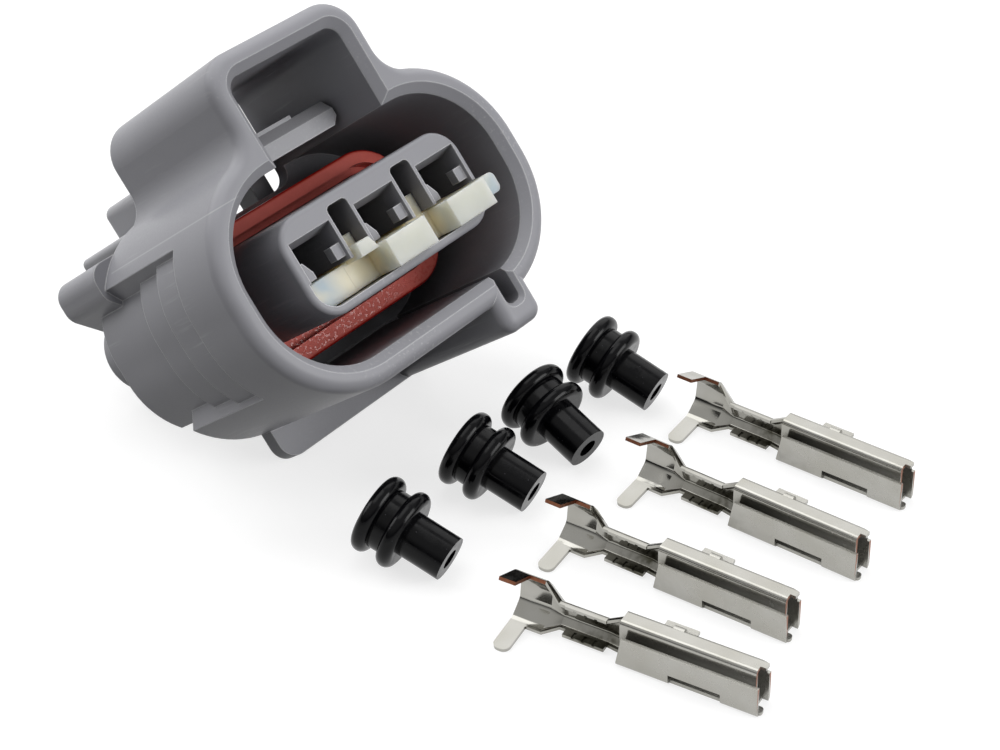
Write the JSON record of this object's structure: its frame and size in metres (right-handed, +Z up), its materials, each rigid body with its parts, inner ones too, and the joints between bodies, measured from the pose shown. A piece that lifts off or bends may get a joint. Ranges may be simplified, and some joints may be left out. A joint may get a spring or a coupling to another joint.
{
  "type": "sealed automotive connector kit",
  "caption": "Sealed plug-in connector housing with keyed hood, ring seal, terminal retainer and rocking latch, with loose wire seals and crimp terminals laid out in front.",
  "frame": {"origin": "middle of the laid-out kit, on the surface it lies on", "axes": "+Z up, +Y from the row of terminals towards the connector, +X to the right along the rows"},
  "size_m": [0.0306, 0.0608, 0.03],
  "materials": {
    "housing": "satin grey moulding",
    "latch_lever": "satin grey moulding",
    "retainer": "natural translucent moulding",
    "ring_seal": "dark red silicone",
    "wire_seal": "oiled black silicone",
    "terminal": "bright tin plating"
  },
  "bodies": {
    "connector": {"housing": "housing", "ring_seal": "ring_seal", "wire_seal_1": "wire_seal", "wire_seal_2": "wire_seal", "wire_seal_3": "wire_seal", "wire_seal_4": "wire_seal", "terminal_1": "terminal", "terminal_2": "terminal", "terminal_3": "terminal", "terminal_4": "terminal"},
    "retainer": {"retainer": "retainer"},
    "latch_lever": {"latch_lever": "latch_lever"}
  },
  "joints": [
    {"name": "retainer_slide", "type": "slide", "parent": "connector", "child": "retainer", "axis": [0, 0.7794, -0.6265], "range_m": [0, 0.00125]},
    {"name": "latch_hinge", "type": "hinge", "parent": "connector", "child": "latch_lever", "pos_m": [-0.00125, 0.02287, 0.0115], "axis": [-1, 0, 0], "range_deg": [0, 7], "stiffness_Nm_per_rad": 0.02}
  ]
}
